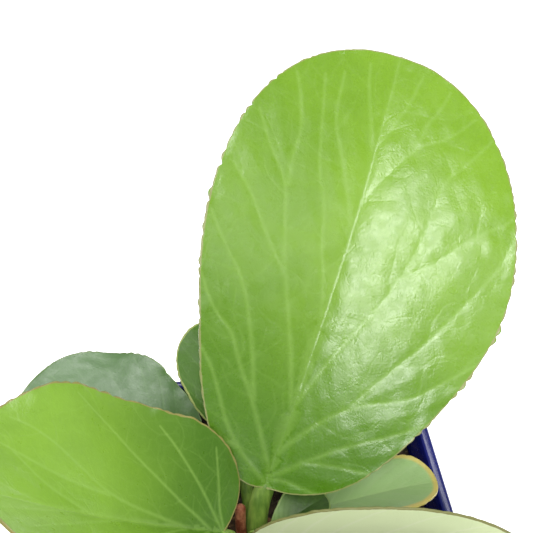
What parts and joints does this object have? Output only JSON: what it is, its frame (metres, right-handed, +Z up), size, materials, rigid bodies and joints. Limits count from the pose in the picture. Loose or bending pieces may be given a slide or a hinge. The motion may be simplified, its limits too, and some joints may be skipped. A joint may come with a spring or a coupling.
{
  "type": "potted heartleaf bergenia",
  "caption": "Young bergenia in a square plastic nursery pot: broad glossy leaves with scalloped edges rise from a short rhizome in soil.",
  "frame": {"origin": "centre of the flat underside of the pot", "axes": "+Z up, through the crown of the plant; +X to the right and +Y away from the viewer, square to the sides of the pot"},
  "size_m": [0.1115, 0.1085, 0.1802],
  "materials": {
    "pot": "gloss",
    "soil": "matte",
    "rhizome": "matte",
    "old_stalk": "matte",
    "leaf_tall": "satin",
    "leaf_left": "satin",
    "leaf_back_left": "satin",
    "leaf_small_back": "satin",
    "leaf_low_right": "satin",
    "leaf_young_right": "satin",
    "leaf_front": "satin"
  },
  "bodies": {
    "root": {"pot": "pot", "soil": "soil", "rhizome": "rhizome", "old_stalk": "old_stalk", "leaf_tall": "leaf_tall", "leaf_left": "leaf_left", "leaf_back_left": "leaf_back_left", "leaf_small_back": "leaf_small_back", "leaf_low_right": "leaf_low_right", "leaf_young_right": "leaf_young_right", "leaf_front": "leaf_front"}
  },
  "joints": []
}
